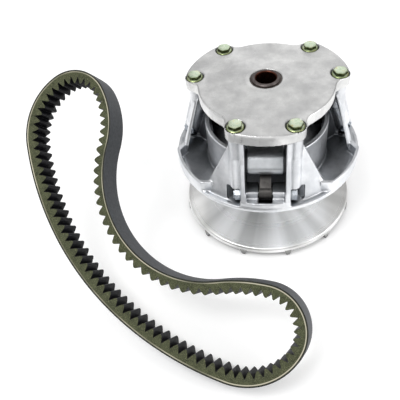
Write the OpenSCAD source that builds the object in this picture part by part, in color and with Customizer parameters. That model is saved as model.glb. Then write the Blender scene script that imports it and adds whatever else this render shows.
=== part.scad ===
// Drive clutch of a belt transmission, and its cogged V-belt as a loose piece beside it.
// The clutch stands on its hub: +Z is the shaft axis, z = 0 is the floor, tower 0 faces -Y.
// The fixed sheave, post and spider are one assembly; the moving sheave and cover slide down
// on the post, the weights swing out as they go, and the rollers turn on the spider.

/* [Sheaves] */
// Outer radius of the fixed sheave's belt face
sheave_r = 100; // [98:0.5:102]
// Outer radius of the moving sheave
moving_r = 103.5; // [102.5:0.5:104]
// Angle of each belt face from flat, in degrees
face_angle = 14; // [13:0.5:14.5]
// Height of the fixed belt face's outer edge above the floor
fixed_edge_z = 13; // [12:0.5:14]
// Open distance between the outer edges of the two belt faces
open_gap = 71; // [70:0.5:72]
// How far the moving sheave slides from open to closed
travel = 30; // [24:1:30]
// Number of cooling fins under the fixed sheave
fin_count = 12; // [8:1:16]

/* [Cover] */
// Height of the cover's flat face above the floor
cover_top_z = 174.5; // [174:0.5:175.5]
// Height of the towers, where the cover sits
tower_top_z = 162; // [161.5:0.5:162]
// Radius of the cover's lobes
lobe_r = 87.5; // [87:0.5:88]
// Radius of the cover between its lobes
cover_r = 71.5; // [70:0.5:72]
// Radius of the circle through the six cover bolts
bolt_circle_r = 77; // [76.5:0.5:77.5]
// Half the angle between the two bolts of one lobe, in degrees
bolt_half_angle = 21.9; // [21.5:0.1:22.3]

/* [Spider and weights] */
// Radius from the shaft axis to a roller pin
roller_pin_r = 69.5; // [69:0.5:70]
// Height of the roller pins
roller_pin_z = 126; // [125.5:0.5:126.5]
// Outer diameter of a roller
roller_d = 20; // [19:0.5:20.5]
// Width across one spider arm's rounded end
barrel_w = 36.8; // [36:0.2:37]
// Clear width of a tower window
window_w = 41; // [41:0.5:42]
// Radius from the shaft axis to a weight's pivot bolt
pivot_r = 87; // [86.5:0.5:87.5]
// Height of the weight pivot bolts with the clutch open
pivot_z = 96.5; // [96:0.5:97]
// How far a weight swings while the sheave closes, in degrees
weight_swing = 45; // [42:1:47]

/* [Shaft and spring] */
// Radius of the post where the moving sheave slides
post_r = 22; // [21.5:0.5:22.5]
// Radius of the post's upper end
tip_r = 15; // [14.5:0.5:15.5]
// Height of the post's upper end
post_top_z = 179; // [178.5:0.5:180]
// Radius of the open bore in the post's upper end
tip_bore_r = 10.75; // [10:0.25:11]
// Radius of the bolt bore inside the post
bolt_bore_r = 8; // [7:0.5:8.5]
// Wire diameter of the primary spring
wire_d = 4.5; // [4:0.1:4.8]
// Mean radius of the primary spring
spring_r = 28.5; // [28:0.25:29]

/* [Belt] */
// Width of the belt at its back
belt_w = 29.5; // [28:0.5:31]
// Thickness of the belt, cogs included
belt_t = 14; // [12:0.5:14.5]
// Tilt of the belt's plane from the floor, in degrees
belt_lean = 39; // [30:1:50]
// Turn of the belt about the vertical, in degrees
belt_turn = -18; // [-20:1:-16]
// Where the belt's lowest point stands, X from the clutch axis
belt_x = -32; // [-60:1:-20]
// Where the belt's lowest point stands, Y from the clutch axis
belt_y = -244.5; // [-280:0.5:-243]

/* [Hidden] */
$fn = 96;

slope = tan(face_angle);
seat_gap = 0.03;                             // between pieces that are fixed to each other
run_gap = 0.05;                              // radial clearance where a piece slides or turns
cut = 1;                                     // how far a cutting tool passes the face it cuts
moving_edge_z = fixed_edge_z + open_gap;
shell_t = 5.5;                               // sheave wall, measured upright
seat_r = 19;                                 // post where the spider sits
tower_count = 3;
bolt_x = bolt_circle_r * sin(bolt_half_angle);
bolt_y = bolt_circle_r * cos(bolt_half_angle);
boss_r = 10.5;                               // cover boss around a bolt
bolt_d = 8;
bolt_flange_d = 17.5;
bolt_clearance = 0.3;                        // between a cover bolt and its hole
spot_r = 9.9;                                // spot face under a cover bolt
bushing_r = 16.5;                            // outside of the cover's bushing
hex_af = 13;                                 // across the flats of an 8 mm bolt's head
spot_z = cover_top_z - 2;                    // sunk seat under a cover bolt
ceiling_z = cover_top_z - 4;                 // inside of the cover's plate
hub_top_z = 98;                              // top of the moving sheave's hub
spider_z = 100;                              // underside of the spider
spider_plate_t = 14;
arm_h = 28;                                  // height of a spider arm's rounded end
slot_w = 12.8;                               // slot in a spider arm for the roller
pin_r = 4;                                   // pin a roller turns on
wall_top_z = 101;                            // moving sheave's wall between the towers
ledge_z = 88.5;                              // ledge in front of a tower, where the wall is cut down
ledge_y = -76.8;                             // where the wall ends and turns in to the tower's foot
band_t = 3.5;
pocket_floor_z = 88;
web_foot_r = 97;                             // outside of the webs on the ledge
web_lean = atan(0.32);
web_t = 3.5;
column_r = 8.2;
knee_z = 136;                                // where the columns start to lean out
column_lean = 19;
spring_low_z = spider_z + spider_plate_t + 0.2;
spring_high_z = ceiling_z - 0.2;
button_r = 12.5;
button_t = 1.75;
weight_hub_r = 7.5;
weight_hub_w = 13;
weight_arm_w = 11.6;
weight_gap = 0.15;                           // between a weight's face and its roller
weight_slot_w = 14;
slot_end_r = 99.6;
pivot_bolt_r = 4;

function fixed_face_z(r) = fixed_edge_z + (sheave_r - r) * slope;
function moving_face_z(r) = moving_edge_z - (moving_r - r) * slope;
// Outside of the webs: a cone that leans in from the ledge to the cover
function web_r(z) = web_foot_r - (z - ledge_z) * tan(web_lean);

module on_towers() {
    for (k = [0 : tower_count - 1]) rotate(360 / tower_count * k) children();
}

module both_sides() {
    for (side = [-1, 1]) translate([side * bolt_x, -bolt_y, 0]) children();
}

// Cylinder along X, centred on x = 0
module bar(r, length) {
    rotate([0, 90, 0]) cylinder(r = r, h = length, center = true);
}

// Flanged hexagon head with its seat at z = 0
module flange_head(height) {
    cylinder(d = bolt_flange_d, h = 1.6);
    cylinder(d = hex_af / cos(30), h = height, $fn = 6);
}

/* ---- fixed half ---- */

// Steel post: a taper for the crankshaft below, steps for the spider and the cover above
module post() {
    seat_low_z = spider_z - 1;
    tip_low_z = 126;
    tip_bore_z = 95;
    taper_top_z = 70;
    taper_mouth_r = 16;
    taper_end_r = 12;
    step_z = fixed_face_z(post_r + 2) + seat_gap;
    color("dimgray") rotate_extrude() polygon([
        [taper_mouth_r, 0], [post_r - 1, 0], [post_r - 1, step_z], [post_r, step_z],
        [post_r, seat_low_z], [seat_r, seat_low_z], [seat_r, tip_low_z], [tip_r, tip_low_z],
        [tip_r, post_top_z - 1], [tip_r - 1, post_top_z], [tip_bore_r + 1, post_top_z],
        [tip_bore_r, post_top_z - 1], [tip_bore_r, tip_bore_z], [bolt_bore_r, tip_bore_z],
        [bolt_bore_r, taper_top_z], [taper_end_r, taper_top_z]]);
}

// Lower sheave: turned belt face above, cast shell and cooling fins below
module fixed_sheave() {
    hub_r = 34;
    bore_r = post_r - 1 + seat_gap;
    top_r = post_r + seat_gap;
    fin_low_z = 1.5;
    fin_t = 4.5;
    fin_r = sheave_r - 0.7;
    back_z = fixed_face_z(hub_r) - shell_t;
    color("gainsboro") {
        rotate_extrude($fn = 180) polygon([
            [bore_r, 0], [hub_r, 0], [hub_r, back_z], [sheave_r - 2, fixed_face_z(sheave_r - 2) - shell_t],
            [sheave_r, fixed_edge_z - 4.5], [sheave_r, fixed_edge_z], [top_r + 2, fixed_face_z(top_r + 2)],
            [bore_r, fixed_face_z(top_r + 2)]]);
        intersection() {
            for (k = [0 : fin_count - 1])
                rotate(360 / fin_count * (k + 0.5)) translate([hub_r - 2, -fin_t / 2, fin_low_z])
                    cube([sheave_r - hub_r + 5, fin_t, 30]);
            rotate_extrude() polygon([
                [hub_r - 2, fin_low_z - cut], [fin_r, fin_low_z - cut],
                [fin_r, fixed_edge_z - 3], [hub_r - 2, fixed_face_z(hub_r - 2) - 3]]);
        }
    }
}

// One spider arm, pointing to -Y: a rounded end that holds the roller, on a flat-topped arm
module spider_arm() {
    root_r = 34;
    barrel_r = arm_h / 2;
    difference() {
        union() {
            translate([0, -roller_pin_r, roller_pin_z]) bar(barrel_r, barrel_w);
            translate([-barrel_w / 2, -roller_pin_r, roller_pin_z - barrel_r])
                cube([barrel_w, roller_pin_r - root_r, arm_h]);
            translate([-barrel_w / 2 + 4, -root_r - cut, spider_z])
                cube([barrel_w - 8, root_r - seat_r - 8, spider_plate_t]);
        }
        // Round room for the roller, open below and behind for the weight that swings up
        translate([0, -roller_pin_r, roller_pin_z]) bar(roller_d / 2 + 1, slot_w);
        translate([-slot_w / 2, -roller_pin_r - roller_d / 2, spider_z - cut])
            cube([slot_w, roller_d, roller_pin_z - spider_z + cut]);
        translate([-slot_w / 2, -roller_pin_r, spider_z - cut])
            cube([slot_w, roller_pin_r - root_r + cut, roller_pin_z + roller_d / 2 + 1 - spider_z + cut]);
        translate([-slot_w / 2, -roller_pin_r - barrel_r - cut, roller_pin_z - barrel_r - cut])
            cube([slot_w, barrel_r, 5]);
        translate([0, -roller_pin_r, roller_pin_z]) bar(pin_r + seat_gap, barrel_w + 2 * cut);
        // Hollow underneath, either side of the slot
        for (side = [-1, 1])
            translate([side * (slot_w / 2 + 6.5) - 3.5, -roller_pin_r + 6, roller_pin_z - barrel_r - cut])
                cube([7, roller_pin_r - root_r - 10, arm_h - 6]);
    }
}

// Three-armed spider on the post
module spider() {
    plate_r = 36.5;
    color("silver") difference() {
        union() {
            translate([0, 0, spider_z]) cylinder(r = plate_r, h = spider_plate_t);
            translate([0, 0, spider_z]) cylinder(r = 24.5, h = 22);
            on_towers() spider_arm();
        }
        translate([0, 0, spider_z - cut]) cylinder(r = seat_r + seat_gap, h = 60);
        on_towers() translate([-slot_w / 2, -plate_r - cut, spider_z - cut])
            cube([slot_w, 10, spider_plate_t + 2 * cut]);
    }
}

// Two thin washers between the post's step and the spider
module limiter_washers() {
    washer_t = (1 - 0.1) / 2;
    color("darkgray") for (k = [0, 1])
        translate([0, 0, spider_z - 1 + 0.03 + k * (washer_t + 0.02)]) difference() {
            cylinder(r = 30, h = washer_t);
            translate([0, 0, -cut]) cylinder(r = seat_r + seat_gap, h = washer_t + 2 * cut);
        }
}

// Steel pins that carry the rollers, flush with the arm ends
module roller_pins() {
    color("gray") on_towers() translate([0, -roller_pin_r, roller_pin_z]) bar(pin_r, barrel_w);
}

// Black plastic buttons at both ends of each arm, that slide on the tower's walls
module spider_buttons() {
    color([0.08, 0.08, 0.09]) on_towers() for (side = [-1, 1])
        translate([side * (barrel_w + button_t) / 2 + side * 0.02, -roller_pin_r, roller_pin_z])
            bar(button_r, button_t);
}

// Roller of arm k, with its bore running on the pin
module roller(k) {
    color("slategray") rotate(360 / tower_count * (k - 1))
        translate([0, -roller_pin_r, roller_pin_z]) difference() {
            bar(roller_d / 2, slot_w - 1);
            bar(pin_r + run_gap, slot_w + 2 * cut);
        }
}

// Spring between the spider and the cover, as the closed sleeve that its coils fill
module primary_spring() {
    color([0.25, 0.3, 0.28]) translate([0, 0, spring_low_z]) difference() {
        cylinder(r = spring_r + wire_d / 2, h = spring_high_z - spring_low_z);
        translate([0, 0, -cut]) cylinder(r = spring_r - wire_d / 2, h = spring_high_z);
    }
}

/* ---- moving half ---- */

// Shell of the moving sheave: belt face below, floor, wall and hub above
module sheave_shell() {
    hub_r = 34;
    bore_r = post_r + 2 + run_gap;
    floor_t = 6;
    wall_r = moving_r - band_t;
    rotate_extrude($fn = 180) polygon([
        [bore_r, moving_face_z(bore_r + 2)], [bore_r + 2, moving_face_z(bore_r + 2)],
        [moving_r, moving_edge_z], [moving_r, wall_top_z - 1], [moving_r - 1, wall_top_z],
        [wall_r, wall_top_z], [wall_r, pocket_floor_z],
        [wall_r - 4, pocket_floor_z], [hub_r, moving_face_z(hub_r) + floor_t],
        [hub_r, hub_top_z], [bore_r, hub_top_z]]);
}

// The webs of a tower: a cone cut to a trapezoid
module tower_webs() {
    foot_x = 60;
    foot_z = 99.5;
    head_x = 29;
    low_z = pocket_floor_z - 3;
    intersection() {
        rotate_extrude($fn = 180) polygon([
            [web_r(low_z) - web_t, low_z], [web_r(low_z), low_z],
            [web_r(tower_top_z), tower_top_z], [web_r(tower_top_z) - web_t, tower_top_z]]);
        rotate([90, 0, 0]) linear_extrude(moving_r) polygon([
            [-foot_x, low_z - cut], [foot_x, low_z - cut], [foot_x, foot_z],
            [head_x, tower_top_z + cut], [-head_x, tower_top_z + cut], [-foot_x, foot_z]]);
    }
}

// Short walls that join the feet of the webs to the sheave's wall
module tower_ends() {
    near_x = 57;
    far_x = 70;
    end_t = 5;
    low_z = pocket_floor_z - 4;
    for (side = [0, 1]) mirror([side, 0, 0])
        translate([near_x, ledge_y + 0.3, low_z])
            cube([far_x - near_x, end_t, wall_top_z - 0.4 - low_z]);
}

// Two walls beside the window, that the buttons slide on
module tower_sides() {
    wall_t = 5;
    inner_r = 63;
    floor_z = pocket_floor_z - 5;
    front_r = 89.5;
    intersection() {
        for (side = [-1, 1])
            translate([side * (window_w + wall_t) / 2 - wall_t / 2 - side * cut / 2, -moving_r, floor_z])
                cube([wall_t + cut / 2, moving_r - inner_r, tower_top_z - floor_z]);
        rotate_extrude($fn = 180) polygon([
            [0, 0], [front_r + knee_z * tan(web_lean), 0], [front_r, knee_z],
            [lobe_r - 0.6, tower_top_z + cut], [0, tower_top_z + cut]]);
    }
}

// Two columns under the cover bolts: upright above the knee, leaning out below it
module tower_columns() {
    both_sides() {
        translate([0, 0, knee_z - 2]) cylinder(r = column_r, h = tower_top_z - knee_z + 2);
        translate([0, 0, knee_z]) rotate([180 - column_lean, 0, 0]) cylinder(r = column_r - 0.2, h = 56);
    }
}

// One tower, facing -Y: webs, columns, side walls and the weight's clevis
module tower() {
    clevis_y = -94;
    clevis_top_z = 104;
    clevis_x = 26;
    floor_z = pocket_floor_z - 5;
    difference() {
        union() {
            tower_webs();
            tower_ends();
            tower_columns();
            tower_sides();
            translate([-clevis_x - cut, clevis_y, floor_z])
                cube([2 * (clevis_x + cut), 16, clevis_top_z + cut - floor_z]);
            // Foot of the clevis, out to the sheave's wall
            translate([-clevis_x - 0.8, -moving_r, floor_z + 0.4])
                cube([2 * (clevis_x + 0.8), 17, 95 - floor_z]);
        }
        // Window
        translate([-window_w / 2, -moving_r - cut, clevis_top_z])
            cube([window_w, moving_r, tower_top_z]);
        // Pockets for the pivot bolt's head and nut
        for (side = [-1, 1])
            translate([side * (clevis_x + 7) - 7, -moving_r - cut, ledge_z + 0.1])
                cube([14, 27, 16.4]);
        translate([0, -pivot_r, pivot_z]) bar(pivot_bolt_r + seat_gap, 80);
        both_sides() translate([0, 0, tower_top_z - 24]) cylinder(d = bolt_d + 2 * seat_gap, h = 30);
    }
}

// Everything a tower may fill: above the belt face's metal and inside the wall's outer face
module tower_room() {
    room_r = moving_r - 0.75;
    rotate_extrude($fn = 180) polygon([
        [30, moving_face_z(30) + 3], [room_r, moving_face_z(room_r) + 3],
        [room_r, tower_top_z + cut], [30, tower_top_z + cut]]);
}

// Ring wall inside the towers, open for the spider's arms
module inner_wall() {
    wall_r = 68;
    wall_t = 4.5;
    top_z = 130;
    difference() {
        translate([0, 0, pocket_floor_z - 10]) difference() {
            cylinder(r = wall_r, h = top_z - pocket_floor_z + 10);
            translate([0, 0, -cut]) cylinder(r = wall_r - wall_t, h = top_z);
        }
        // Room for the spider arms, their buttons and the weights
        on_towers() translate([-window_w / 2, -moving_r, pocket_floor_z - 12])
            cube([window_w, moving_r, top_z]);
    }
}

// Cast moving sheave with its three towers
module moving_sheave() {
    color("gainsboro") difference() {
        union() {
            difference() {
                sheave_shell();
                // The wall is cut down to a ledge in front of each tower
                on_towers() translate([-75, -moving_r - cut, ledge_z])
                    cube([150, moving_r + cut + ledge_y, wall_top_z]);
            }
            intersection() {
                on_towers() tower();
                tower_room();
            }
            inner_wall();
        }
        // Slot for the weight, from the front edge of the clevis to the hub
        on_towers() translate([-weight_slot_w / 2, -slot_end_r, pocket_floor_z - 1.5])
            cube([weight_slot_w, slot_end_r - 30, tower_top_z]);
    }
}

// Bronze bushing that slides on the post
module sheave_bushing() {
    low_z = moving_face_z(post_r + 4) + 1;
    color("darkgoldenrod") translate([0, 0, low_z]) difference() {
        cylinder(r = post_r + 2, h = hub_top_z - 1 - low_z);
        translate([0, 0, -cut]) cylinder(r = post_r + run_gap, h = hub_top_z);
    }
}

// Cover outline, drawn smaller by the inset
module cover_outline(inset) {
    circle(r = cover_r - inset, $fn = 180);
    on_towers() {
        intersection() {
            circle(r = lobe_r - inset, $fn = 180);
            translate([-bolt_x, -lobe_r]) square([2 * bolt_x, lobe_r]);
        }
        translate([-bolt_x - boss_r + inset, -bolt_y]) square([2 * (bolt_x + boss_r - inset), 34]);
        both_sides() circle(r = boss_r - inset);
        for (side = [0, 1]) mirror([side, 0]) lobe_fillet(inset);
    }
}

// Hollow corner between the side of a lobe and the round part of the cover
module lobe_fillet(inset) {
    hollow_r = 12;
    side_x = bolt_x + boss_r;
    centre_x = side_x + hollow_r;
    centre_y = -sqrt(pow(cover_r + hollow_r, 2) - pow(centre_x, 2));
    share = cover_r / (cover_r + hollow_r);
    difference() {
        polygon([[side_x - 4, centre_y], [centre_x, centre_y], [centre_x * share, centre_y * share],
                 [side_x - 4, centre_y * share + 4]]);
        translate([centre_x, centre_y]) circle(r = hollow_r + inset - 0.15);
    }
}

// Cover with three lobes, bolted to the towers
module cover() {
    skirt_t = 3;
    hub_r = 24;
    dome_z = cover_top_z + 3;
    color("lightgray") difference() {
        union() {
            translate([0, 0, tower_top_z]) linear_extrude(cover_top_z - tower_top_z) cover_outline(0);
            rotate_extrude() polygon([
                [0, cover_top_z - cut], [64, cover_top_z - cut], [64, cover_top_z],
                [hub_r, dome_z - 0.4], [hub_r - 3, dome_z], [0, dome_z]]);
        }
        difference() {
            translate([0, 0, tower_top_z - cut])
                linear_extrude(ceiling_z - tower_top_z + cut) cover_outline(skirt_t);
            on_towers() both_sides() cylinder(r = 8, h = ceiling_z);
            cylinder(r = hub_r, h = ceiling_z);
        }
        translate([0, 0, tower_top_z - cut]) cylinder(r = bushing_r + seat_gap, h = 30);
        on_towers() both_sides() {
            translate([0, 0, tower_top_z - cut]) cylinder(d = bolt_d + 2 * bolt_clearance, h = 30);
            translate([0, 0, spot_z]) cylinder(r = spot_r, h = 10);
        }
    }
}

// Bushing that guides the cover on the post's end
module cover_bushing() {
    color("dimgray") translate([0, 0, tower_top_z + 1]) difference() {
        cylinder(r = bushing_r, h = cover_top_z + 2.5 - tower_top_z - 1);
        translate([0, 0, -cut]) cylinder(r = tip_r + run_gap, h = 30);
    }
}

// Six zinc plated flange bolts
module cover_bolts() {
    shank = 30;
    color([0.72, 0.74, 0.5]) on_towers() both_sides() {
        translate([0, 0, spot_z + 0.02]) flange_head(5.5);
        translate([0, 0, spot_z - shank]) cylinder(d = bolt_d, h = shank + cut);
    }
}

/* ---- weights ---- */

// Where the roller's centre stands, seen from the pivot of a weight, after a part of the travel.
// The outline is drawn in the plane of the weight: x points out from the shaft, y is up.
function roller_from_pivot(part) =
    let(dx = roller_pin_r - pivot_r, dz = roller_pin_z - pivot_z + part * travel,
        back = part * weight_swing)
    [dx * cos(back) - dz * sin(back), dx * sin(back) + dz * cos(back)];

// Point of the weight's face that the roller touches at that moment
function face_point(part) =
    let(here = roller_from_pivot(part), next = roller_from_pivot(part + 0.01),
        step = next - here, reach = roller_d / 2 + weight_gap)
    here + [-step.y, step.x] / norm(step) * reach;

// Weight k: a hub on the pivot bolt and a curved arm whose top face follows the roller
module weight(k) {
    steps = 16;
    face = [for (i = [0 : steps]) face_point(i / steps)];
    tip = face[steps];
    color("darkslategray") rotate(360 / tower_count * (k - 1)) difference() {
        translate([0, -pivot_r, pivot_z]) {
            rotate([90, 0, -90]) linear_extrude(weight_arm_w, center = true)
                polygon(concat(face, [tip + [-3, -1.5], tip + [-3, -8], tip + [10, -19],
                                      [-22, -5.5], [-4, -6], [5, 0], [3, 6]]));
            bar(weight_hub_r, weight_hub_w);
        }
        translate([0, -pivot_r, pivot_z]) bar(pivot_bolt_r + run_gap, 30);
    }
}

// Pivot bolts, head on one side and nut on the other
module weight_bolts() {
    color("lightsteelblue") on_towers() translate([0, -pivot_r, pivot_z]) {
        translate([2, 0, 0]) bar(pivot_bolt_r, 62);
        translate([26.05, 0, 0]) rotate([0, 90, 0]) cylinder(d = hex_af / cos(30), h = 6.5, $fn = 6);
    }
}

// Lock nuts on the pivot bolts
module weight_nuts() {
    color("lightsteelblue") on_towers() translate([-26.05, -pivot_r, pivot_z])
        rotate([0, -90, 0]) difference() {
            union() {
                cylinder(d = hex_af / cos(30), h = 5.5, $fn = 6);
                cylinder(r = 5.6, h = 7);
            }
            translate([0, 0, -cut]) cylinder(r = pivot_bolt_r + seat_gap, h = 20);
        }
}

/* ---- belt ---- */

// The loop as a chain of arcs along the belt's back, each [length, turn in degrees],
// from the lowest point: lower lobe, hollow run past the clutch, upper lobe, long front run
belt_bends = [[81.6, 70], [87.5, 114.4], [52.4, 17.7], [213.6, -112.9], [64.1, 43.6],
              [69.3, 90.7], [88.6, 72.6], [198.8, 37.7], [148, 26.2]];
belt_stations = 160;

function belt_length(i = 0) = i == len(belt_bends) ? 0 : belt_bends[i][0] + belt_length(i + 1);
// Position and heading [x, y, heading] after the distance s, walked from bend i
function belt_walk(s, i = 0, from = [0, 0, 0]) =
    let(bend = belt_bends[i], walked = min(s, bend[0]), turn = bend[1] * walked / bend[0],
        radius = bend[0] / (bend[1] * PI / 180), heading = from[2] + turn,
        here = [from[0] + radius * (sin(heading) - sin(from[2])),
                from[1] - radius * (cos(heading) - cos(from[2])), heading])
    s <= bend[0] || i + 1 == len(belt_bends) ? here : belt_walk(s - bend[0], i + 1, here);
// The chain's small closing error is spread evenly along the loop
belt_total = belt_length();
belt_miss = belt_walk(belt_total);
function belt_pose(part) =
    let(pose = belt_walk(part * belt_total))
    [pose[0] - part * belt_miss[0], pose[1] - part * belt_miss[1], pose[2]];

// V-belt: a closed ring with sloping flanks, standing on its lowest point
module drive_belt() {
    flank = belt_t * tan(14);
    section = [[0, 0], [0, belt_w], [belt_t, belt_w - flank], [belt_t, flank]];
    sides = len(section);
    points = [for (i = [0 : belt_stations - 1])
        let(pose = belt_pose(i / belt_stations))
        for (corner = section)
            [pose[0] - corner[0] * sin(pose[2]), pose[1] + corner[0] * cos(pose[2]), corner[1]]];
    faces = [for (i = [0 : belt_stations - 1]) for (j = [0 : sides - 1])
        let(next = (i + 1) % belt_stations, up = (j + 1) % sides)
        [i * sides + j, i * sides + up, next * sides + up, next * sides + j]];
    color([0.28, 0.31, 0.2]) translate([belt_x, belt_y, 0.1])
        rotate([belt_lean, 0, belt_turn]) polyhedron(points, faces, convexity = 4);
}

post();
fixed_sheave();
spider();
limiter_washers();
roller_pins();
spider_buttons();
roller(1);  // roller_1
roller(2);  // roller_2
roller(3);  // roller_3
primary_spring();
moving_sheave();
sheave_bushing();
cover();
cover_bushing();
cover_bolts();
weight(1);  // weight_1
weight(2);  // weight_2
weight(3);  // weight_3
weight_bolts();
weight_nuts();
drive_belt();
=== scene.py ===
"""Looks of the drive clutch and its cogged belt: castings, turned faces, plated bolts and the belt.

Every size is in millimetres until it becomes a vertex or a node value; MM turns it into metres.
"""

import math

import bmesh
import bpy
from mathutils import Matrix, Vector


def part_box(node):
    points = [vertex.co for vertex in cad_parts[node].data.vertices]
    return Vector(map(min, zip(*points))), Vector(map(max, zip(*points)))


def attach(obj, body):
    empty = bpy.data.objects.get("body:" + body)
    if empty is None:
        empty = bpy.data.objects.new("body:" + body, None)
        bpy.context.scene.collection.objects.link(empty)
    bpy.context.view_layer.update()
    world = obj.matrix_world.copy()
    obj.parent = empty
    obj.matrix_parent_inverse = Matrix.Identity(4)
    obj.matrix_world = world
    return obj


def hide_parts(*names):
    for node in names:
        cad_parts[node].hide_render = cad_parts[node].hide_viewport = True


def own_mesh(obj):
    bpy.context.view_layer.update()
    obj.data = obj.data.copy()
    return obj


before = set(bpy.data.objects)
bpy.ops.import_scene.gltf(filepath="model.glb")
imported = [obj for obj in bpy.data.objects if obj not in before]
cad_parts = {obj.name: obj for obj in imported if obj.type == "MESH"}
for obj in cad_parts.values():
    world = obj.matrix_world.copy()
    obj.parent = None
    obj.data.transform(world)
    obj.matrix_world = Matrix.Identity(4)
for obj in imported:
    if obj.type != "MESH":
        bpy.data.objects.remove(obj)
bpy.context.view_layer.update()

MM = 0.001
WHITE = (1, 1, 1)
TOWER_COUNT = 3


# ---------------------------------------------------------------- places read from the frame

def span(node):
    """Lowest and highest corner of a CAD node, in millimetres."""
    low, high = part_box(node)
    return low / MM, high / MM


SHEAVE_TOP = span("fixed_sheave")[1]
SPRING_LOW, SPRING_HIGH = span("primary_spring")
BOLTS_TOP = span("cover_bolts")[1]
POST_R = span("post")[1].x


# ---------------------------------------------------------------- driving sizes

SHEAVE_R = SHEAVE_TOP.x
FACE_SLOPE = math.tan(math.radians(14))
FIXED_EDGE_Z = 13         # height of the fixed sheave's face at its sharp CAD edge
HUB_R = 34
SHELL_T = 5.5             # thickness of the fixed sheave behind its face
FIN_COUNT = 12
BOLT_CIRCLE_R = 77
BOLT_HALF_ANGLE = math.radians(21.9)
HEAD_FLATS = 13
HEAD_HEIGHT = 5.5
RUST_R = 11.7             # rust reaches from the shaft's bore to just past its rim

BELT_WIDTH = 29.5
BELT_FLANK = math.tan(math.radians(14))
BELT_BODY = 7.0           # back to the root of a cog
BELT_COG = 7.0            # height of a cog
COG_COUNT = 97
BELT_LEAN = math.radians(39)
BELT_TURN = math.radians(-18)
BELT_FOOT = Vector((-32, -244.5, 0.1))
# Arcs along the belt's back from its lowest point: (length, turn in degrees)
BELT_BENDS = ((81.6, 70), (87.5, 114.4), (52.4, 17.7), (213.6, -112.9), (64.1, 43.6),
              (69.3, 90.7), (88.6, 72.6), (198.8, 37.7), (148, 26.2))
BELT_LENGTH = sum(length for length, _ in BELT_BENDS)


# ---------------------------------------------------------------- mesh helpers

def linked(name, data):
    """A new object in the scene."""
    made = bpy.data.objects.new(name, data)
    bpy.context.scene.collection.objects.link(made)
    return made


def mesh_object(name, verts, faces):
    """A smooth-shaded mesh object from points in millimetres."""
    mesh = bpy.data.meshes.new(name)
    mesh.from_pydata([tuple(c * MM for c in v) for v in verts], [], faces)
    mesh.validate()
    piece = linked(name, mesh)
    shade_smooth(piece)
    return piece


def shade_smooth(piece):
    """Smooth shading on every face."""
    piece.data.polygons.foreach_set("use_smooth", [True] * len(piece.data.polygons))


def ring_faces(rings, count, closed=True):
    """Faces between neighbouring rings of points; a closed run joins its last ring to its first."""
    faces = []
    for i in range(rings if closed else rings - 1):
        n = (i + 1) % rings
        for j in range(count):
            k = (j + 1) % count
            faces.append((i * count + j, n * count + j, n * count + k, i * count + k))
    return faces


def end_caps(rings, count):
    """The two faces that shut an open run of rings."""
    last = (rings - 1) * count
    return [tuple(range(count)), tuple(range(last + count - 1, last - 1, -1))]


def lathe(profile, segments):
    """Points and faces of a closed profile of (radius, height) turned about Z."""
    verts = []
    for i in range(segments):
        a = math.tau * i / segments
        verts += [(r * math.cos(a), r * math.sin(a), z) for r, z in profile]
    return verts, ring_faces(segments, len(profile))


def solid_turn(profile, segments):
    """Points and faces of a profile turned about Z that starts and ends on the axis."""
    verts = [(0.0, 0.0, profile[0][1]), (0.0, 0.0, profile[-1][1])]
    ring = profile[1:-1]
    count = len(ring)
    for i in range(segments):
        a = math.tau * i / segments
        verts += [(r * math.cos(a), r * math.sin(a), z) for r, z in ring]
    faces = []
    for i in range(segments):
        here = 2 + i * count
        there = 2 + (i + 1) % segments * count
        faces.append((0, there, here))
        faces.append((1, here + count - 1, there + count - 1))
        for j in range(count - 1):
            faces.append((here + j, there + j, there + j + 1, here + j + 1))
    return verts, faces


def arc(centre_r, centre_z, radius, start, end, steps):
    """Points of an arc in a profile, angles in degrees."""
    points = []
    for i in range(steps + 1):
        a = math.radians(start + (end - start) * i / steps)
        points.append((centre_r + radius * math.cos(a), centre_z + radius * math.sin(a)))
    return points


def joined(name, parts):
    """One object from several pairs of (verts, faces)."""
    verts, faces = [], []
    for part_verts, part_faces in parts:
        base = len(verts)
        verts += part_verts
        faces += [tuple(base + i for i in face) for face in part_faces]
    return mesh_object(name, verts, faces)


def moved(part, matrix):
    """Verts and faces with every vertex moved by a matrix."""
    verts, faces = part
    return [tuple(matrix @ Vector(v)) for v in verts], faces


def outward(piece):
    """Points every face's normal outwards."""
    bm = bmesh.new()
    bm.from_mesh(piece.data)
    bmesh.ops.recalc_face_normals(bm, faces=bm.faces)
    bm.to_mesh(piece.data)
    bm.free()


def mark_sharp(piece, degrees):
    """Sharp edges where faces meet at more than an angle."""
    bm = bmesh.new()
    bm.from_mesh(piece.data)
    for edge in bm.edges:
        edge.smooth = len(edge.link_faces) == 2 and edge.calc_face_angle(0) < math.radians(degrees)
    bm.to_mesh(piece.data)
    bm.free()


def soften(piece, width):
    """A bevel on a piece's sharp edges, then smooth shading that keeps the flats flat."""
    bevel = piece.modifiers.new("edges", "BEVEL")
    bevel.width = width * MM
    bevel.segments = 2
    bevel.limit_method = "ANGLE"
    bevel.angle_limit = math.radians(30)
    bevel.harden_normals = True
    shade_smooth(piece)


def casting(node, name, voxel, rounds):
    """A copy of a CAD node with the soft edges and filled corners of a casting."""
    piece = linked(name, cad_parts[node].data.copy())
    remesh = piece.modifiers.new("skin", "REMESH")
    remesh.mode = "VOXEL"
    remesh.voxel_size = voxel * MM
    remesh.use_smooth_shade = True
    smooth = piece.modifiers.new("fillets", "SMOOTH")
    smooth.factor = 0.5
    smooth.iterations = rounds
    graph = bpy.context.evaluated_depsgraph_get()
    graph.update()
    mesh = bpy.data.meshes.new_from_object(piece.evaluated_get(graph))
    piece.modifiers.clear()
    piece.data = mesh
    shade_smooth(piece)
    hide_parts(node)
    return piece


def paint(piece, *materials):
    """Gives a piece its materials, in slot order."""
    piece.data.materials.clear()
    for material in materials:
        piece.data.materials.append(material)


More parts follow.
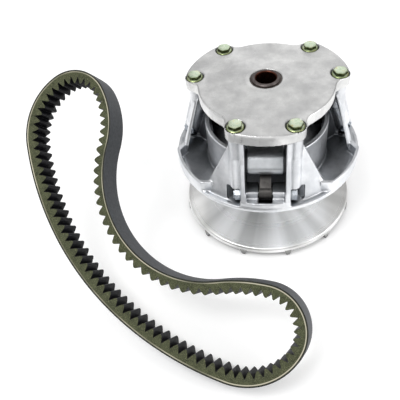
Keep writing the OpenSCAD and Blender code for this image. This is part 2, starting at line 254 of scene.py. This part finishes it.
# ---------------------------------------------------------------- node helpers

class Nodes:
    """A node tree being built: each method adds nodes and gives back an output."""

    def __init__(self, tree):
        self.tree = tree

    def node(self, kind, **inputs):
        """A shader node with its named inputs fed; an underscore stands for a space."""
        made = self.tree.nodes.new("ShaderNode" + kind)
        for key, value in inputs.items():
            self.feed(made.inputs[key.replace("_", " ")], value)
        return made

    def feed(self, socket, value):
        """Links an output to a socket, or sets the socket's own value."""
        if isinstance(value, bpy.types.NodeSocket):
            self.tree.links.new(value, socket)
        else:
            socket.default_value = value

    def maths(self, kind, a, b=0.0):
        """One sum on two numbers."""
        made = self.node("Math")
        made.operation = kind
        self.feed(made.inputs[0], a)
        self.feed(made.inputs[1], b)
        return made.outputs["Value"]

    def grade(self, factor, low, high, start=0.0, end=1.0):
        """A number that goes from low to high as the factor goes from start to end."""
        made = self.node("MapRange", Value=factor, From_Min=start, From_Max=end, To_Min=low, To_Max=high)
        return made.outputs["Result"]

    def split(self, vector):
        """The X, Y and Z of a vector."""
        return self.node("SeparateXYZ", Vector=vector).outputs


class Look(Nodes):
    """A material being built around its surface shader."""

    def __init__(self, name, **values):
        self.material = bpy.data.materials.new(name)
        self.material.use_nodes = True
        super().__init__(self.material.node_tree)
        self.surface = self.tree.nodes["Principled BSDF"]
        for key, value in values.items():
            self.surface.inputs[key.replace("_", " ")].default_value = value

    def place(self):
        """Place on the piece, in metres."""
        return self.node("TexCoord").outputs["Object"]

    def noise(self, scale, detail=4, rough=0.5, place=None):
        """Soft noise around 0.5, with a scale in waves per unit of the place: a metre, if none is given."""
        made = self.node("TexNoise", Vector=place or self.place(), Scale=scale, Detail=detail,
                         Roughness=rough)
        return made.outputs["Fac"]

    def ramp(self, factor, stops):
        """Colour ramp from (position, colour) pairs."""
        made = self.node("ValToRGB", Fac=factor)
        elements = made.color_ramp.elements
        while len(elements) < len(stops):
            elements.new(0.5)
        for element, (position, colour) in zip(elements, stops):
            element.position = position
            element.color = (*colour, 1)
        return made.outputs["Color"]

    def mottle(self, scale, detail, dark, light, rough=0.5, start=0.3, end=0.7):
        """Two colours that run into each other in soft patches."""
        return self.ramp(self.noise(scale, detail, rough), ((start, dark), (end, light)))

    def mix(self, factor, a, b, kind="MIX"):
        """Two colours mixed."""
        made = self.tree.nodes.new("ShaderNodeMix")
        made.data_type = "RGBA"
        made.blend_type = kind
        colour_a, colour_b, colour_out = made.inputs[6], made.inputs[7], made.outputs[2]
        self.feed(made.inputs["Factor"], factor)
        self.feed(colour_a, a if isinstance(a, bpy.types.NodeSocket) else (*a, 1))
        self.feed(colour_b, b if isinstance(b, bpy.types.NodeSocket) else (*b, 1))
        return colour_out

    def shaded(self, colour, shade):
        """A colour darkened by another."""
        return self.mix(1.0, colour, shade, "MULTIPLY")

    def grey(self, level):
        """A grey whose three channels follow one number."""
        return self.node("CombineColor", Red=level, Green=level, Blue=level).outputs["Color"]

    def bump(self, height, strength, depth, normal=None):
        """Bump of a depth in millimetres, on top of another bump if one is given."""
        made = self.node("Bump", Height=height, Strength=strength, Distance=depth * MM)
        if normal:
            self.feed(made.inputs["Normal"], normal)
        return made.outputs["Normal"]

    def crevice(self, reach):
        """0 in corners closer than a reach in millimetres, 1 in the open."""
        made = self.node("AmbientOcclusion", Distance=reach * MM)
        made.samples = 6
        return made.outputs["AO"]

    def facing_up(self):
        """1 where the surface faces straight up, 0 where it is upright."""
        return self.split(self.node("NewGeometry").outputs["Normal"])["Z"]

    def bearing(self):
        """Direction from the shaft axis, as a flat vector one unit long."""
        place = self.split(self.place())
        flat = self.node("CombineXYZ", X=place["X"], Y=place["Y"])
        made = self.node("VectorMath", Vector=flat.outputs["Vector"])
        made.operation = "NORMALIZE"
        return made.outputs["Vector"]

    def radius(self):
        """Distance from the shaft axis, in metres."""
        place = self.split(self.place())
        x_squared = self.maths("MULTIPLY", place["X"], place["X"])
        y_squared = self.maths("MULTIPLY", place["Y"], place["Y"])
        return self.maths("SQRT", self.maths("ADD", x_squared, y_squared))

    def done(self, colour, roughness=None, normal=None):
        """The finished material."""
        self.feed(self.surface.inputs["Base Color"], colour)
        if roughness is not None:
            self.feed(self.surface.inputs["Roughness"], roughness)
        if normal is not None:
            self.feed(self.surface.inputs["Normal"], normal)
        return self.material


# ---------------------------------------------------------------- materials

def cast_aluminium(name, light, dark, painted_top_shade, rough_low, rough_high, grain):
    """Die cast and tumbled aluminium: soft mottling, fine grain, and painted shade in the corners and on
    the faces that look up.
    """
    look = Look(name, Metallic=1.0)
    colour = look.mottle(45, 5, dark, light, 0.6, 0.35, 0.65)
    cloud = look.grade(look.noise(22, 3), 0.86, 1.06, 0.35, 0.65)
    colour = look.shaded(colour, look.grey(cloud))
    stain = look.grade(look.noise(160, 6, 0.7), 0.0, 0.35, 0.45, 0.75)
    colour = look.mix(stain, colour, tuple(0.75 * c for c in dark))
    # Painted shade: faces that look up are darkened towards the top shade level.
    flat = look.ramp(look.facing_up(), ((0.6, WHITE), (0.95, (painted_top_shade,) * 3)))
    colour = look.shaded(colour, flat)
    # Painted shade in corners and recesses, near black where they are deepest.
    painted_corner_shades = ((0.1, (0.03, 0.03, 0.035)), (0.45, (0.42, 0.43, 0.44)), (0.8, WHITE))
    colour = look.shaded(colour, look.ramp(look.crevice(24), painted_corner_shades))
    rough = look.grade(look.noise(220, 6, 0.65), rough_low, rough_high, 0.3, 0.7)
    grains = look.bump(look.noise(1400, 3, 0.6), grain, 0.06)
    dents = look.bump(look.noise(120, 4), 0.25, 0.25, grains)
    return look.done(colour, rough, dents)


def turned_aluminium():
    """A face turned on a lathe: very fine rings that streak the light, and fan-shaped bands of painted
    highlight and shade round the shaft.
    """
    look = Look("turned_aluminium", Metallic=1.0, Anisotropic=0.9)
    # Painted highlights: the colour runs light and dark with the bearing round the shaft.
    painted_fans = look.noise(2.2, 3, 0.42, look.bearing())
    painted_fan_shades = ((0.36, (0.55, 0.55, 0.54)), (0.5, (0.78, 0.78, 0.77)), (0.62, WHITE))
    rings = look.node("CombineXYZ", X=look.radius()).outputs["Vector"]
    rough = look.grade(look.noise(150, 2, 0.5, rings), 0.26, 0.30, 0.3, 0.7)
    grain = look.bump(look.noise(1500, 2), 0.03, 0.01)
    tangent = look.node("Tangent")
    tangent.direction_type = "RADIAL"
    tangent.axis = "Z"
    look.feed(look.surface.inputs["Tangent"], tangent.outputs["Tangent"])
    return look.done(look.ramp(painted_fans, painted_fan_shades), rough, grain)


def dark_steel(name, light, dark, rough):
    """Oiled or oxidised steel with faint scratches."""
    look = Look(name, Metallic=1.0)
    colour = look.mottle(150, 6, dark, light, 0.7, 0.35)
    roughness = look.grade(look.noise(400, 5, 0.6), rough - 0.08, rough + 0.12, 0.3, 0.7)
    return look.done(colour, roughness, look.bump(look.noise(1800, 3), 0.15, 0.03))


def shaft_steel():
    """The shaft: grey steel outside, rusty brown down the bore."""
    look = Look("shaft_steel", Metallic=1.0)
    rust = look.mottle(260, 6, (0.05, 0.016, 0.010), (0.11, 0.036, 0.022), 0.7, 0.35)
    steel = look.mottle(200, 5, (0.075, 0.062, 0.060), (0.15, 0.13, 0.125), 0.6, 0.35)
    blend = 0.5
    inside = look.grade(look.radius(), 1.0, 0.0, (RUST_R - blend) * MM, (RUST_R + blend) * MM)
    rough = look.grade(look.noise(500), 0.32, 0.5, 0.3, 0.7)
    return look.done(look.mix(inside, steel, rust), rough, look.bump(look.noise(1200), 0.2, 0.04))


def zinc(name, stops, side, painted_slope_shade):
    """Plated steel whose tint drifts over each head, with painted shade: duller on the chamfers, darkest on
    the upright sides and darker in tight corners.
    """
    look = Look(name, Metallic=1.0)
    tint = look.ramp(look.noise(260, 3, 0.55), stops)
    # Painted shade by facing: upright sides take the darkest colour, chamfers a duller one, tops stay
    # clear.
    turned = look.ramp(look.facing_up(), ((0.5, side), (0.9, painted_slope_shade), (0.99, WHITE)))
    # Painted shade in tight corners, such as where each head meets its seat.
    corner = look.ramp(look.crevice(3), ((0.2, (0.15, 0.16, 0.1)), (0.8, WHITE)))
    colour = look.shaded(look.shaded(tint, turned), corner)
    rough = look.grade(look.noise(900), 0.2, 0.38, 0.3, 0.7)
    return look.done(colour, rough, look.bump(look.noise(1500, 3), 0.12, 0.03))


def black_nylon():
    """The wear strips beside the spider's arms."""
    look = Look("black_nylon")
    colour = look.mottle(300, 4, (0.012, 0.012, 0.014), (0.03, 0.03, 0.034))
    rough = look.grade(look.noise(700), 0.4, 0.6)
    return look.done(colour, rough, look.bump(look.noise(2400, 2), 0.2, 0.03))


def spring_steel():
    """Dark shot-peened spring wire."""
    look = Look("spring_steel", Metallic=0.6)
    colour = look.mottle(200, 5, (0.02, 0.022, 0.022), (0.06, 0.065, 0.06))
    rough = look.grade(look.noise(500), 0.35, 0.5)
    return look.done(colour, rough, look.bump(look.noise(900, 3), 0.2, 0.05))


def bushing_bronze():
    """Bronze bushings, dark with use."""
    look = Look("bushing_bronze", Metallic=1.0)
    colour = look.mottle(200, 5, (0.075, 0.062, 0.056), (0.13, 0.11, 0.10))
    rough = look.grade(look.noise(500), 0.35, 0.5)
    return look.done(colour, rough, look.bump(look.noise(1500, 3), 0.15, 0.03))


def belt_flank():
    """Cut side of the belt: olive, flecked with fibre ends, with the cord line near the back."""
    look = Look("belt_flank", Specular_IOR_Level=0.3)
    olive = look.mottle(150, 6, (0.028, 0.033, 0.015), (0.085, 0.094, 0.046), 0.7, 0.3, 0.72)
    fibre = look.noise(1500, 2, 0.7)
    olive = look.mix(look.grade(fibre, 0.0, 0.8, 0.56, 0.66), olive, (0.22, 0.22, 0.12))
    pits = look.grade(look.noise(1300, 2, 0.7), 0.0, 0.9, 0.56, 0.66)
    olive = look.mix(pits, olive, (0.008, 0.008, 0.005))
    rubber = look.mottle(500, 4, (0.014, 0.015, 0.012), (0.030, 0.032, 0.024))
    # Depth below the back in millimetres, stored on the mesh, with a slow wander
    stored = look.node("Attribute")
    stored.attribute_name = "depth"
    depth = look.maths("ADD", stored.outputs["Fac"], look.maths("MULTIPLY", look.noise(60, 2), 0.35))
    colour = look.mix(look.grade(depth, 1.0, 0.0, 1.75, 1.95), olive, rubber)
    cord_start = look.grade(depth, 0.0, 1.0, 1.95, 2.15)
    cord_end = look.grade(depth, 1.0, 0.0, 2.9, 3.1)
    faded = look.grade(look.noise(12, 2), 0.25, 1.0, 0.42, 0.56)
    cord = look.maths("MULTIPLY", look.maths("MULTIPLY", cord_start, cord_end), faded)
    colour = look.mix(cord, colour, (0.50, 0.47, 0.36))
    return look.done(colour, look.grade(fibre, 0.65, 0.9), look.bump(look.noise(1700, 4, 0.7), 0.5, 0.12))


def belt_cogs():
    """Moulded cogs: near black rubber with a cloth skin and a blue-grey sheen."""
    look = Look("belt_cogs", Specular_IOR_Level=0.14)
    colour = look.mottle(400, 4, (0.002, 0.002, 0.003), (0.007, 0.007, 0.010))
    rough = look.grade(look.noise(300), 0.38, 0.6)
    return look.done(colour, rough, look.bump(look.noise(2200, 3), 0.4, 0.08))


def belt_back():
    """Smooth ground back of the belt: dark grey with a fine grain."""
    look = Look("belt_back", Specular_IOR_Level=0.35)
    colour = look.mottle(350, 5, (0.040, 0.043, 0.048), (0.066, 0.070, 0.076), 0.6)
    rough = look.grade(look.noise(600), 0.5, 0.7)
    return look.done(colour, rough, look.bump(look.noise(1500), 0.3, 0.06))


# ---------------------------------------------------------------- the belt

FLANK, COGS, BACK = range(3)                 # the belt's material slots
BACK_CORNER = (0.25, 0.3)                    # depth and inset of the worn corner at the back
BACK_STRIP = 6.0                             # strip of the back beside each corner
BACK_PLACES = (BACK_STRIP, BELT_WIDTH / 2, BELT_WIDTH - BACK_STRIP)
FLANK_DEPTHS = (0.5, 1.7, 2.0, 2.6, 4.5)
COG_PLACES = tuple(BELT_WIDTH * share for share in (0.68, 0.5, 0.32))
PER_COG = 16                                 # stations along one cog


def belt_walk(distance):
    """Position and heading on the belt's back at a distance from its lowest point."""
    x = 0.0
    y = 0.0
    heading = 0.0
    for length, turn in BELT_BENDS:
        walked = min(distance, length)
        bend = math.radians(turn) * walked / length
        radius = length / math.radians(turn)
        x += radius * (math.sin(heading + bend) - math.sin(heading))
        y -= radius * (math.cos(heading + bend) - math.cos(heading))
        heading += bend
        distance -= walked
        if distance <= 0:
            break
    return x, y, heading


def cog_height(phase):
    """Height of a cog's outline, 0 to 1: a narrow root at phase 0 and a broad tip at 0.5."""
    breadth = 0.62
    return (0.5 - 0.5 * math.cos(math.tau * phase)) ** breadth


def belt_ring(floor):
    """(depth below the back, place across) round the belt where its cogs reach down to a floor."""
    side = [BACK_CORNER]
    side += [(depth, depth * BELT_FLANK) for depth in (*FLANK_DEPTHS, (BELT_BODY + floor) / 2, floor)]
    ring = [(0.0, across) for across in BACK_PLACES]
    ring += [(depth, BELT_WIDTH - inset) for depth, inset in side]
    ring += [(floor, across) for across in COG_PLACES]
    ring += reversed(side)
    return ring


def drive_belt():
    """The whole belt: smooth back, sloping flanks that show each cog's outline, and the cogs."""
    stations = COG_COUNT * PER_COG
    miss_x, miss_y, _ = belt_walk(BELT_LENGTH)
    verts, depths = [], []
    for i in range(stations):
        part = i / stations
        x, y, heading = belt_walk(part * BELT_LENGTH)
        # The arcs close to within 0.3 mm; the miss is spread along the belt
        x -= part * miss_x
        y -= part * miss_y
        floor = BELT_BODY + BELT_COG * cog_height((i / PER_COG) % 1.0)
        for depth, across in belt_ring(floor):
            verts.append((x - depth * math.sin(heading), y + depth * math.cos(heading), across))
            depths.append(depth)
    flank = [FLANK] * (len(FLANK_DEPTHS) + 2)
    slots = [BACK] * len(BACK_PLACES) + flank + [COGS] * (len(COG_PLACES) + 1) + flank + [BACK]
    slots *= stations
    piece = mesh_object("cogged_belt", verts, ring_faces(stations, len(verts) // stations))
    outward(piece)
    lean = Matrix.Rotation(BELT_TURN, 4, "Z") @ Matrix.Rotation(BELT_LEAN, 4, "X")
    piece.data.transform(Matrix.Translation(BELT_FOOT * MM) @ lean)
    paint(piece, belt_flank(), belt_cogs(), belt_back())
    piece.data.polygons.foreach_set("material_index", slots)
    attribute = piece.data.attributes.new("depth", "FLOAT", "POINT")
    attribute.data.foreach_set("value", depths)
    crease_between(piece.data, slots)
    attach(piece, "belt_body")
    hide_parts("drive_belt")


def crease_between(mesh, slots):
    """Sharp edges wherever two materials meet."""
    seen = {}
    for polygon, slot in zip(mesh.polygons, slots):
        for key in polygon.edge_keys:
            seen.setdefault(key, set()).add(slot)
    for edge in mesh.edges:
        edge.use_edge_sharp = len(seen[edge.key]) > 1


# ---------------------------------------------------------------- the fixed half

def face_z(r):
    """Height of the fixed sheave's belt face at a radius."""
    return FIXED_EDGE_Z + (SHEAVE_R - r) * FACE_SLOPE


def sheave_profile():
    """The fixed sheave's turned face, then its small rim, shell and hub, as (radius, height)."""
    step_in = 1.0                            # the post is this much slimmer inside the sheave
    clearance = 0.1
    bore_r = POST_R - step_in + clearance
    boss_r = POST_R + 2
    face = [(bore_r, SHEAVE_TOP.z), (boss_r, SHEAVE_TOP.z)]
    face += [(r, face_z(r)) for r in range(28, 96, 6)]
    # The face rolls over its edge on an arc that is tangent to it
    edge_r = 3.0
    roll = math.pi / 2 - math.atan(FACE_SLOPE)
    edge_x = SHEAVE_R - edge_r
    edge_z = face_z(edge_x + edge_r * math.cos(roll)) - edge_r * math.sin(roll)
    face += arc(edge_x, edge_z, edge_r, math.degrees(roll), 10, 8)
    rim_r = 1.2
    shell = arc(SHEAVE_R - rim_r, edge_z - 2 * rim_r, rim_r, 0, -80, 4)
    shell += [(r, face_z(r) - SHELL_T) for r in range(94, 40, -8)]
    # The shell turns down into the hub through a fillet of two short steps
    shell += [(HUB_R + 3, face_z(HUB_R + 3) - 6), (HUB_R + 0.8, face_z(HUB_R) - 9)]
    hub_chamfer = 1
    hub_z = 12
    shell += [(HUB_R, hub_z), (HUB_R, hub_chamfer), (HUB_R - hub_chamfer, 0), (bore_r, 0)]
    return face, shell


def fixed_sheave():
    """Turned belt face with a small rim, the cast shell behind it, and drafted fins."""
    segments = 288
    face, shell = sheave_profile()
    body = joined("fixed_sheave_body", [lathe(face + shell, segments)])
    outward(body)
    # The shell and fins take a darker copy of the cast aluminium: painted shade for the underside.
    back = cast_aluminium("shaded_back_aluminium", light=(0.50, 0.50, 0.49), dark=(0.38, 0.38, 0.37),
                          painted_top_shade=0.9, rough_low=0.34, rough_high=0.5, grain=0.3)
    paint(body, turned_aluminium(), back)
    turned, cast = range(2)                  # the body's material slots
    slots = [turned] * (len(face) + 1) + [cast] * (len(shell) - 1)
    body.data.polygons.foreach_set("material_index", slots * segments)
    mark_sharp(body, 25)
    into_hub = 2
    past_rim = 0.6
    one_fin = fin(HUB_R - into_hub, SHEAVE_R + past_rim)
    turns = [Matrix.Rotation(math.tau * (k + 0.5) / FIN_COUNT, 4, "Z") for k in range(FIN_COUNT)]
    ribs = joined("fixed_sheave_fins", [moved(one_fin, turn) for turn in turns])
    outward(ribs)
    soften(ribs, 0.7)
    paint(ribs, back)
    for piece in (body, ribs):
        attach(piece, "fixed_half")
    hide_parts("fixed_sheave")


def fin(inner, outer):
    """One cooling fin along +X, thicker towards the shell, with a rounded outer toe."""
    low_z = 0.1
    toe = 1.5
    toe_bend = 0.4
    free_edge = [(inner, low_z), (outer - toe, low_z), (outer - toe_bend, low_z + toe_bend),
                 (outer, low_z + toe)]
    # The other edge is sunk in the shell
    shell_edge = [(outer, FIXED_EDGE_Z - 4.5), (inner, face_z(inner) - 3)]
    half_free = 1.8                          # half the thickness at each edge
    half_shell = 4.2
    verts = []
    for side in (-1, 1):
        verts += [(x, side * half_free, z) for x, z in free_edge]
        verts += [(x, side * half_shell, z) for x, z in shell_edge]
    n = len(verts) // 2
    faces = [tuple(range(n)), tuple(range(2 * n - 1, n - 1, -1))]
    faces += [(i, i + n, (i + 1) % n + n, (i + 1) % n) for i in range(n)]
    return verts, faces


def coil_height(turn, coils, low, high):
    """Height of the spring's wire after some turns: steep in the middle, closed at both ends."""
    closed = 0.75                            # turns in each closed end
    end_rise = 4.0                           # height that each closed end climbs
    start = min(turn, closed) / closed
    middle = min(max((turn - closed) / (coils - 2 * closed), 0.0), 1.0)
    end = max(turn - coils + closed, 0.0) / closed
    return low + end_rise * (start + end) + (high - low - 2 * end_rise) * middle


def primary_spring():
    """The primary spring: round wire with closed ends."""
    wire_r = 2.25
    coils = 5.2
    per_coil = 48
    per_ring = 12
    coil_r = SPRING_HIGH.x - wire_r
    steps = int(coils * per_coil)
    verts = []
    for i in range(steps + 1):
        a = math.tau * i / per_coil
        z = coil_height(i / per_coil, coils, SPRING_LOW.z + wire_r, SPRING_HIGH.z - wire_r)
        for j in range(per_ring):
            b = math.tau * j / per_ring
            r = coil_r + wire_r * math.cos(b)
            verts.append((r * math.cos(a), r * math.sin(a), z + wire_r * math.sin(b)))
    faces = ring_faces(steps + 1, per_ring, closed=False)
    piece = mesh_object("primary_spring_coil", verts, faces + end_caps(steps + 1, per_ring))
    outward(piece)
    paint(piece, spring_steel())
    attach(piece, "fixed_half")
    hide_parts("primary_spring")
    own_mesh(piece)


# ---------------------------------------------------------------- cover bolts

def hexagon_head(across_flats, height, chamfer):
    """A hexagon head standing on z = 0, its top corners turned off."""
    per_side = 8
    count = 6 * per_side
    flat_r = across_flats / 2
    spread = flat_r / math.cos(math.pi / 6) - flat_r
    # The chamfer cuts the corners back to a shoulder, then runs in to a round top
    shoulder_r = 1.02 * flat_r + 0.25 * spread
    top_r = 1.02 * flat_r - 0.5 * spread - 0.55
    levels = ((0, math.inf), (height - chamfer, math.inf), (height - 0.4 * chamfer, shoulder_r),
              (height, top_r))
    verts = []
    for z, limit in levels:
        for i in range(count):
            a = math.tau * i / count
            hexagon_r = flat_r / math.cos(a % (math.pi / 3) - math.pi / 6)
            r = min(hexagon_r, limit)
            verts.append((r * math.cos(a), r * math.sin(a), z))
    return verts, ring_faces(len(levels), count, closed=False) + end_caps(len(levels), count)


def cover_bolts():
    """Flange bolts in pairs on each lobe: a dished flange, a chamfered hexagon and the shank."""
    flange = [(0, 0), (8.2, 0), (8.75, 0.4), (8.75, 0.9), (8.3, 1.3), (7.2, 1.75), (0, 1.9)]
    shank = [(0, -30), (3.4, -30), (4, -29.3), (4, 0.5), (0, 0.5)]
    chamfer = 1.1
    seat_z = BOLTS_TOP.z - HEAD_HEIGHT
    parts = []
    for k in range(TOWER_COUNT):
        for side in (-1, 1):
            a = math.tau * k / TOWER_COUNT - math.pi / 2 + side * BOLT_HALF_ANGLE
            spot = Vector((BOLT_CIRCLE_R * math.cos(a), BOLT_CIRCLE_R * math.sin(a), seat_z))
            # No two heads stop at the same angle
            place = Matrix.Translation(spot) @ Matrix.Rotation(a * 3.7 + 0.4, 4, "Z")
            parts.append(moved(solid_turn(flange, 48), place))
            parts.append(moved(hexagon_head(HEAD_FLATS, HEAD_HEIGHT, chamfer), place))
            parts.append(moved(solid_turn(shank, 32), place))
    piece = joined("cover_bolt_set", parts)
    outward(piece)
    mark_sharp(piece, 28)
    tints = ((0.3, (0.52, 0.64, 0.46)), (0.55, (0.70, 0.78, 0.62)), (0.72, (0.66, 0.62, 0.34)))
    # The last two colours are painted shade for the heads' upright sides and chamfers.
    paint(piece, zinc("yellow_zinc", tints, side=(0.12, 0.13, 0.07), painted_slope_shade=(0.55, 0.56, 0.36)))
    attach(piece, "moving_half")
    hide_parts("cover_bolts")


# ---------------------------------------------------------------- castings and carried-over nodes

def castings():
    """Moving sheave, spider and cover, with the soft edges of die casting."""
    sheave_look = cast_aluminium("cast_aluminium", light=(0.88, 0.89, 0.91), dark=(0.74, 0.76, 0.79),
                                 painted_top_shade=0.84, rough_low=0.28, rough_high=0.44, grain=0.35)
    spider_look = cast_aluminium("spider_aluminium", light=(0.66, 0.68, 0.70), dark=(0.50, 0.52, 0.54),
                                 painted_top_shade=0.9, rough_low=0.3, rough_high=0.42, grain=0.2)
    cover_look = cast_aluminium("cover_aluminium", light=(0.82, 0.82, 0.81), dark=(0.64, 0.64, 0.64),
                                painted_top_shade=0.88, rough_low=0.24, rough_high=0.42, grain=0.35)
    # node, body it rides on, slot, look, rounds of smoothing
    pieces = (("moving_sheave", "moving_half", "cast_aluminium", sheave_look, 5),
              ("spider", "fixed_half", "cast_aluminium", spider_look, 4),
              ("cover", "moving_half", "cover_aluminium", cover_look, 4))
    voxel = 0.75
    for node, body, slot, look, rounds in pieces:
        piece = casting(node, node + "_casting", voxel, rounds)
        paint(piece, look)
        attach(piece, body)


def carried_over():
    """Materials and softened edges of the CAD nodes that stay."""
    weight = dark_steel("weight_steel", (0.10, 0.095, 0.09), (0.055, 0.052, 0.05), 0.42)
    roller = dark_steel("roller_steel", (0.42, 0.42, 0.43), (0.3, 0.3, 0.31), 0.25)
    tints = ((0.3, (0.55, 0.58, 0.62)), (0.5, (0.66, 0.68, 0.70)), (0.7, (0.72, 0.72, 0.72)))
    # The last two colours are painted shade for the heads' upright sides and chamfers.
    plated = zinc("clear_zinc", tints, side=(0.55, 0.58, 0.62), painted_slope_shade=(0.8, 0.82, 0.85))
    bronze = bushing_bronze()
    shaft = shaft_steel()
    looks = {"post": shaft, "limiter_washers": shaft, "roller_pins": roller,
             "spider_buttons": black_nylon(), "sheave_bushing": bronze, "cover_bushing": bronze,
             "weight_bolts": plated, "weight_nuts": plated}
    for k in range(1, TOWER_COUNT + 1):
        looks[f"weight_{k}"] = weight
        looks[f"roller_{k}"] = roller
    broken_edge = 0.35
    for name, look in looks.items():
        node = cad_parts[name]
        paint(node, look)
        soften(node, broken_edge)


# ---------------------------------------------------------------- stage

def pale_floor():
    """A wide floor that glows a little, so the shadows on it stay pale."""
    half = 4000
    corners = [(-half, -half, 0), (half, -half, 0), (half, half, 0), (-half, half, 0)]
    floor = mesh_object("floor", corners, [(0, 1, 2, 3)])
    look = Look("floor", Roughness=0.6, Emission_Color=(1, 1, 1, 1), Emission_Strength=0.2)
    paint(floor, look.done(look.mottle(3, 2, (0.88, 0.88, 0.88), (0.92, 0.92, 0.92))))


def studio_sky():
    """Surroundings for the metal to mirror: soft upright panels all round, an even ceiling above."""
    world = bpy.data.worlds.new("studio")
    world.use_nodes = True
    background = world.node_tree.nodes["Background"]
    sky = Nodes(world.node_tree)
    seen = sky.split(sky.node("TexCoord").outputs["Generated"])
    panel_count = 4.0
    first_panel = 0.3                        # radians of one panel's wave
    turn = sky.maths("MULTIPLY", sky.maths("ARCTAN2", seen["Y"], seen["X"]), panel_count)
    wave = sky.maths("COSINE", sky.maths("ADD", turn, first_panel))
    panels = sky.grade(wave, 0.45, 1.1, -0.7, 0.7)
    ceiling = sky.grade(seen["Z"], 0.0, 1.0, 0.55, 1.0)
    ceiling_light = 0.8
    walls = sky.maths("MULTIPLY", panels, sky.maths("SUBTRACT", 1.0, ceiling))
    glow = sky.maths("ADD", walls, sky.maths("MULTIPLY", ceiling, ceiling_light))
    sky.feed(background.inputs["Color"], glow)
    sky.feed(background.inputs["Strength"], 1.0)
    bpy.context.scene.world = world


def lamp(name, spot, size, power):
    """A square soft lamp that points at the clutch."""
    light = bpy.data.lights.new(name, "AREA")
    light.shape = "SQUARE"
    light.size = size * MM
    light.energy = power
    holder = linked(name, light)
    holder.location = Vector(spot) * MM
    target = Vector((0, 0, 80))
    aim = target - Vector(spot)
    holder.rotation_euler = aim.to_track_quat("-Z", "Y").to_euler()


def camera():
    """The camera at the photograph's viewing angle, held slightly askew like the photograph."""
    lens = bpy.data.cameras.new("camera")
    lens.sensor_width = 36
    lens.lens = 46.7
    lens.clip_end = 50
    yaw = math.radians(-11.7)
    pitch = math.radians(48.06)
    roll = math.radians(-8.46)
    spot = Vector((5.8, -453.0, 500.8))
    ahead = Vector((math.sin(yaw) * math.cos(pitch), math.cos(yaw) * math.cos(pitch), -math.sin(pitch)))
    right = Vector((math.cos(yaw), -math.sin(yaw), 0))
    up = right.cross(ahead)
    turned_right = right * math.cos(roll) + up * math.sin(roll)
    turned_up = up * math.cos(roll) - right * math.sin(roll)
    matrix = Matrix((turned_right, turned_up, -ahead)).transposed().to_4x4()
    matrix.translation = spot * MM
    holder = linked("camera", lens)
    holder.matrix_world = matrix
    bpy.context.scene.camera = holder


def stage():
    """Pale floor, soft studio light, and the camera."""
    bpy.context.scene.view_settings.view_transform = "Standard"
    pale_floor()
    studio_sky()
    lamp("key", (-500, -500, 1400), 600, 8.5)
    lamp("fill", (1000, -300, 600), 500, 3)
    camera()


drive_belt()
fixed_sheave()
primary_spring()
cover_bolts()
castings()
carried_over()
stage()
